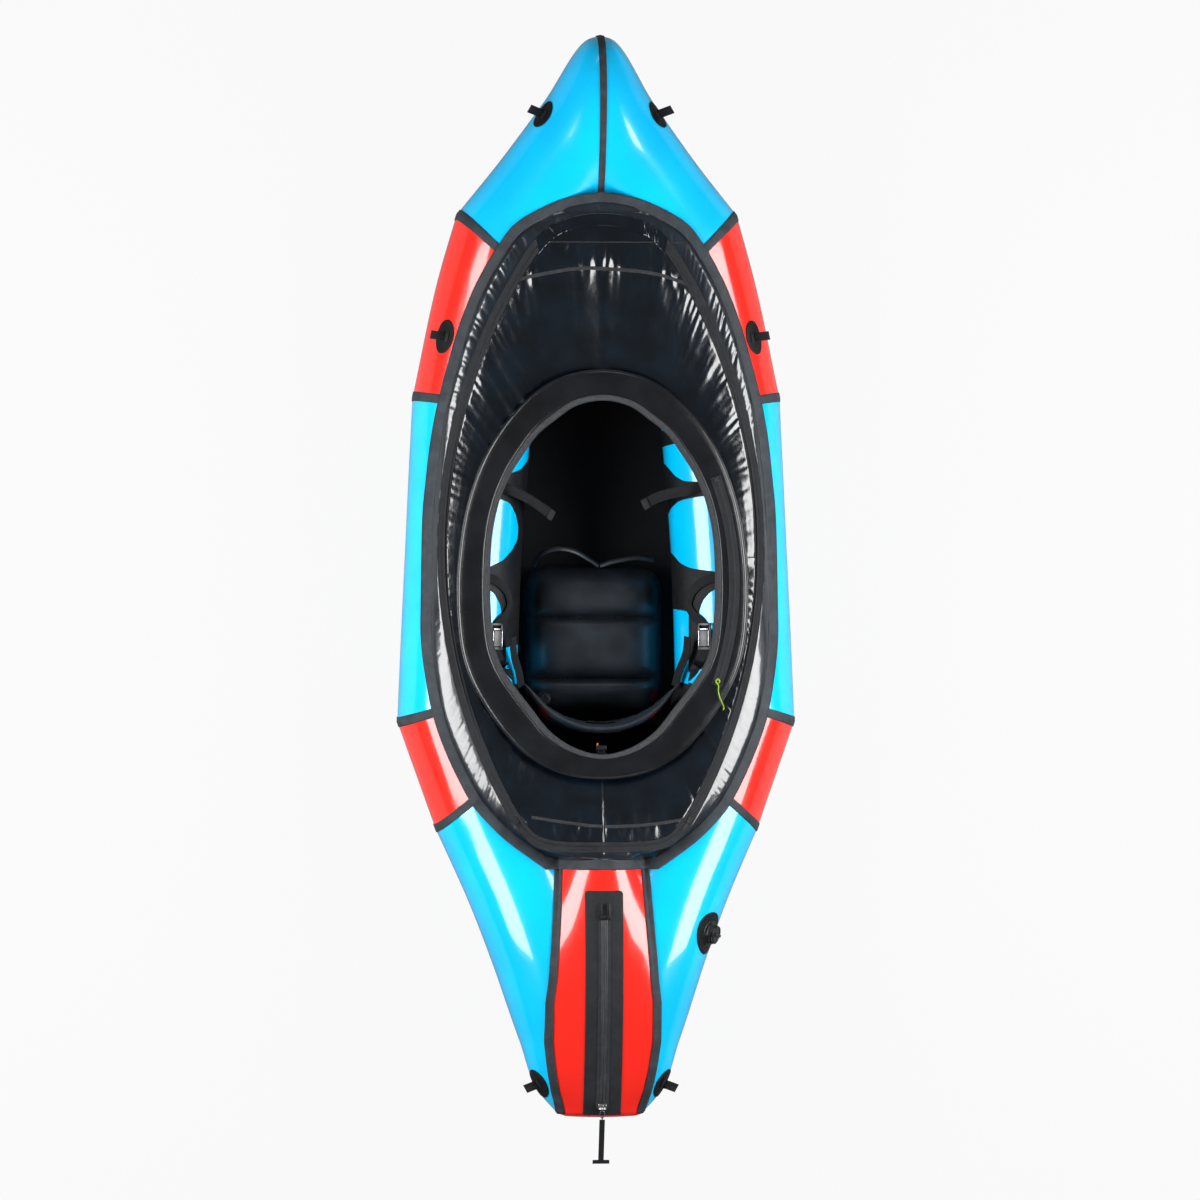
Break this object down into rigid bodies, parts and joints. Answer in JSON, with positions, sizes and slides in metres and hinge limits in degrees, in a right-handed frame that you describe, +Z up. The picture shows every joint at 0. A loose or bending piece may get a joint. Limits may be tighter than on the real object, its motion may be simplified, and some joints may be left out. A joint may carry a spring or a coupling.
{
  "type": "packraft",
  "caption": "Inflatable one-person packraft with a zipped spray deck, soft coaming, seat with backrest and strap harness, cargo zip on the tail and webbing tie loops.",
  "frame": {"origin": "on the ground under the middle of the whole length and width", "axes": "+Y towards the bow, +X to starboard, +Z up"},
  "size_m": [0.928, 2.6085, 0.3813],
  "materials": {
    "blue_cloth": "glossy coated cloth",
    "red_cloth": "glossy coated cloth",
    "seam_tape": "matt tape",
    "deck_cloth": "shiny coated cloth",
    "floor_cloth": "matt coated cloth",
    "webbing": "woven",
    "black_plastic": "gloss",
    "lever_metal": "satin",
    "bright_metal": "polished"
  },
  "bodies": {
    "boat": {"bow_panel_left": "blue_cloth", "bow_panel_right": "blue_cloth", "bow_ridge_tape": "seam_tape", "bow_seam_tape_left": "seam_tape", "bow_seam_tape_right": "seam_tape", "bow_tie_loop_left": "webbing", "bow_tie_loop_right": "webbing", "buckle_frame_left": "black_plastic", "buckle_frame_right": "black_plastic", "cargo_zip": "seam_tape", "coaming_binding": "seam_tape", "coaming_sleeve": "deck_cloth", "coaming_zip": "seam_tape", "deck_border": "deck_cloth", "deck_cover": "deck_cloth", "deck_strip": "seam_tape", "deck_zip_left": "seam_tape", "deck_zip_right": "seam_tape", "floor_sheet": "floor_cloth", "hip_panel_left": "red_cloth", "hip_panel_right": "red_cloth", "hip_seam_tape_left": "seam_tape", "hip_seam_tape_right": "seam_tape", "hip_strap_left": "webbing", "hip_strap_right": "webbing", "inflation_valve": "black_plastic", "middle_tie_loop_left": "webbing", "middle_tie_loop_right": "webbing", "rear_strap": "webbing", "seat_cushion": "deck_cloth", "shoulder_panel_left": "red_cloth", "shoulder_panel_right": "red_cloth", "shoulder_seam_tape_left": "seam_tape", "shoulder_seam_tape_right": "seam_tape", "side_panel_left": "blue_cloth", "side_panel_right": "blue_cloth", "stern_cap": "red_cloth", "stern_panel_left": "blue_cloth", "stern_panel_right": "blue_cloth", "stern_seam_tape_left": "seam_tape", "stern_seam_tape_right": "seam_tape", "stern_tie_loop_left": "webbing", "stern_tie_loop_right": "webbing", "tail_panel": "red_cloth", "tail_seam_tape_left": "seam_tape", "tail_seam_tape_right": "seam_tape", "thigh_strap_left": "webbing", "thigh_strap_right": "webbing"},
    "deck_zip_slider_right": {"deck_zip_slider_right": "black_plastic"},
    "deck_zip_slider_left": {"deck_zip_slider_left": "black_plastic"},
    "coaming_zip_slider": {"coaming_zip_slider": "bright_metal"},
    "cargo_zip_slider": {"cargo_zip_slider": "bright_metal"},
    "pull_ring": {"pull_ring": "bright_metal"},
    "pull_strap": {"pull_strap": "webbing"},
    "valve_cap": {"valve_cap": "black_plastic"},
    "seat_valve": {"seat_valve": "black_plastic"},
    "backrest": {"backrest": "deck_cloth"},
    "buckle_lever_right": {"buckle_lever_right": "lever_metal"},
    "buckle_lever_left": {"buckle_lever_left": "lever_metal"},
    "rear_buckle_plug": {"rear_buckle_plug": "black_plastic"}
  },
  "joints": [
    {"name": "deck_zip_run_right", "type": "hinge", "parent": "boat", "child": "deck_zip_slider_right", "pos_m": [-0.84707, 0.11928, 0.4967], "axis": [0.1738, 0.0234, 0.9845], "range_deg": [0, 64]},
    {"name": "deck_zip_run_left", "type": "hinge", "parent": "boat", "child": "deck_zip_slider_left", "pos_m": [0.84707, 0.11928, 0.4967], "axis": [0.1738, -0.0234, -0.9845], "range_deg": [0, 64]},
    {"name": "coaming_zip_run", "type": "hinge", "parent": "boat", "child": "coaming_zip_slider", "pos_m": [-0.39675, 0.037, 0.33], "axis": [0, 0, 1], "range_deg": [0, 37.5]},
    {"name": "cargo_zip_run", "type": "hinge", "parent": "boat", "child": "cargo_zip_slider", "pos_m": [0, -0.81175, -0.623], "axis": [-1, 0, 0], "range_deg": [0, 24.3]},
    {"name": "pull_ring_swing", "type": "hinge", "parent": "cargo_zip_slider", "child": "pull_ring", "pos_m": [0, -1.17898, 0.31535], "axis": [-1, 0, 0], "range_deg": [0, 70]},
    {"name": "pull_strap_swing", "type": "hinge", "parent": "pull_ring", "child": "pull_strap", "pos_m": [0, -1.19645, 0.311], "axis": [-1, 0, 0], "range_deg": [0, 80]},
    {"name": "valve_cap_turn", "type": "hinge", "parent": "boat", "child": "valve_cap", "pos_m": [0.26306, -0.7759, 0.28153], "axis": [0.8584, -0.2377, 0.4546], "range_deg": [0, 90]},
    {"name": "seat_valve_turn", "type": "hinge", "parent": "boat", "child": "seat_valve", "pos_m": [-0.12056, -0.23175, 0.1104], "axis": [0, 0, 1], "range_deg": [0, 90]},
    {"name": "backrest_fold", "type": "hinge", "parent": "boat", "child": "backrest", "pos_m": [0, -0.2985, 0.15], "axis": [-1, 0, 0], "range_deg": [0, 22]},
    {"name": "buckle_lever_lift_right", "type": "hinge", "parent": "boat", "child": "buckle_lever_right", "pos_m": [0.24075, -0.11293, 0.26932], "axis": [0.8751, 0, 0.484], "range_deg": [0, 65]},
    {"name": "buckle_lever_lift_left", "type": "hinge", "parent": "boat", "child": "buckle_lever_left", "pos_m": [-0.24075, -0.11293, 0.26932], "axis": [0.8751, 0, -0.484], "range_deg": [0, 65]},
    {"name": "rear_buckle_release", "type": "slide", "parent": "boat", "child": "rear_buckle_plug", "axis": [0, 1, 0], "range_m": [0, 0.022]}
  ]
}
